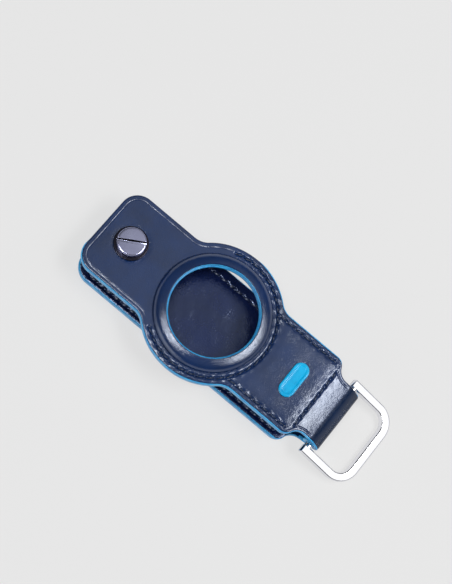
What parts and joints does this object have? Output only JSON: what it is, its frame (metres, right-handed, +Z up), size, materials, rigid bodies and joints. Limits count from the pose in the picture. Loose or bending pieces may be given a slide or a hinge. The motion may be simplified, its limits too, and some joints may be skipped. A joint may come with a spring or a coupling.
{
  "type": "tracker tag holder",
  "caption": "Leather key-ring holder for a round tracker tag, with a raised window bezel, stitched strap layers folded round a metal ring, and a slotted screw that closes the tab.",
  "frame": {"origin": "on the resting face of the back strap, under the centre of the window", "axes": "+X along the strap towards the ring, +Z up through the window, +Y across the strap"},
  "size_m": [0.0977, 0.0398, 0.0138],
  "materials": {
    "strap_leather": "polished smooth navy leather",
    "lining_leather": "matt dark navy lining",
    "edge_paint": "satin blue edge paint",
    "thread": "dark navy waxed thread",
    "badge_enamel": "bright blue enamel",
    "dark_nickel": "polished dark nickel",
    "polished_steel": "mirror polished"
  },
  "bodies": {
    "back": {"back_leather": "strap_leather", "back_lining": "lining_leather", "back_edge_coat": "edge_paint", "back_stitching": "thread", "ring_loop": "strap_leather", "loop_edge_coat": "edge_paint", "screw_post": "dark_nickel"},
    "front": {"front_leather": "strap_leather", "front_lining": "lining_leather", "front_neck": "strap_leather", "front_edge_coat": "edge_paint", "front_neck_edge_coat": "edge_paint", "window_edge_coat": "edge_paint", "bezel_stitching": "thread", "plate_stitching": "thread", "badge": "badge_enamel"},
    "washer": {"screw_washer": "dark_nickel"},
    "screw": {"screw": "dark_nickel"},
    "ring": {"d_ring": "polished_steel"}
  },
  "joints": [
    {"name": "cover_open", "type": "hinge", "parent": "back", "child": "front", "pos_m": [0.04085, 0, 0.00804], "axis": [0, 1, 0], "range_deg": [0, 45]},
    {"name": "screw_lift", "type": "slide", "parent": "front", "child": "washer", "axis": [0, 0, 1], "range_m": [0, 0.0035]},
    {"name": "screw_turn", "type": "hinge", "parent": "washer", "child": "screw", "pos_m": [-0.0292, 0, 0.0116], "axis": [0, 0, 1], "range_deg": [0, 1800]},
    {"name": "ring_swing", "type": "hinge", "parent": "back", "child": "ring", "pos_m": [0.0434, 0, 0.0054], "axis": [0, -1, 0], "range_deg": [-110, 105]}
  ],
  "couplings": [
    {"joint": "screw_turn", "follows": "screw_lift", "rad_per_m": 8975.9}
  ]
}
